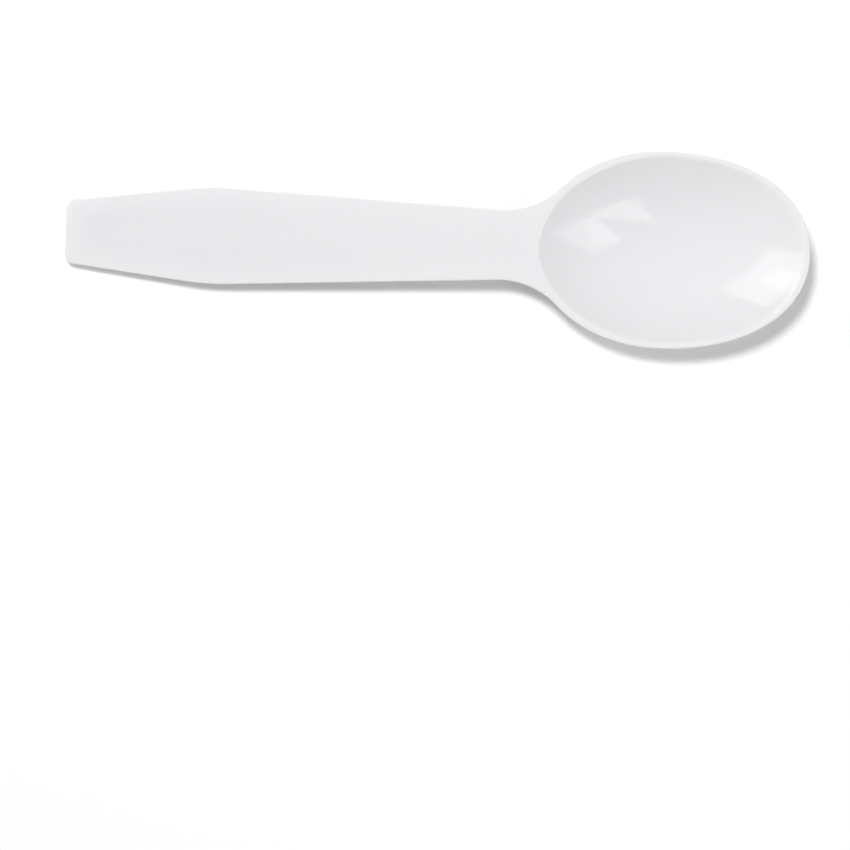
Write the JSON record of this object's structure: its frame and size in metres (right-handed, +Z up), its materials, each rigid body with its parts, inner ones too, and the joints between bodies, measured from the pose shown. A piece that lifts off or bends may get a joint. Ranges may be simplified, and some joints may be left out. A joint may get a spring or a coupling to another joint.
{
  "type": "taster spoon",
  "caption": "Small white plastic tasting spoon: egg-shaped bowl with a thin rim, and a flat tapered handle made as an open channel with a rib underneath.",
  "frame": {"origin": "on the table that the spoon lies on, under the middle of its length and width", "axes": "+X from the handle's end to the bowl's tip, +Z up out of the bowl, +Y across to the left seen along +X"},
  "size_m": [0.076, 0.02, 0.0064],
  "materials": {
    "white_polystyrene": "opaque white, smooth and glossy as moulded"
  },
  "bodies": {
    "root": {"spoon": "white_polystyrene"}
  },
  "joints": []
}
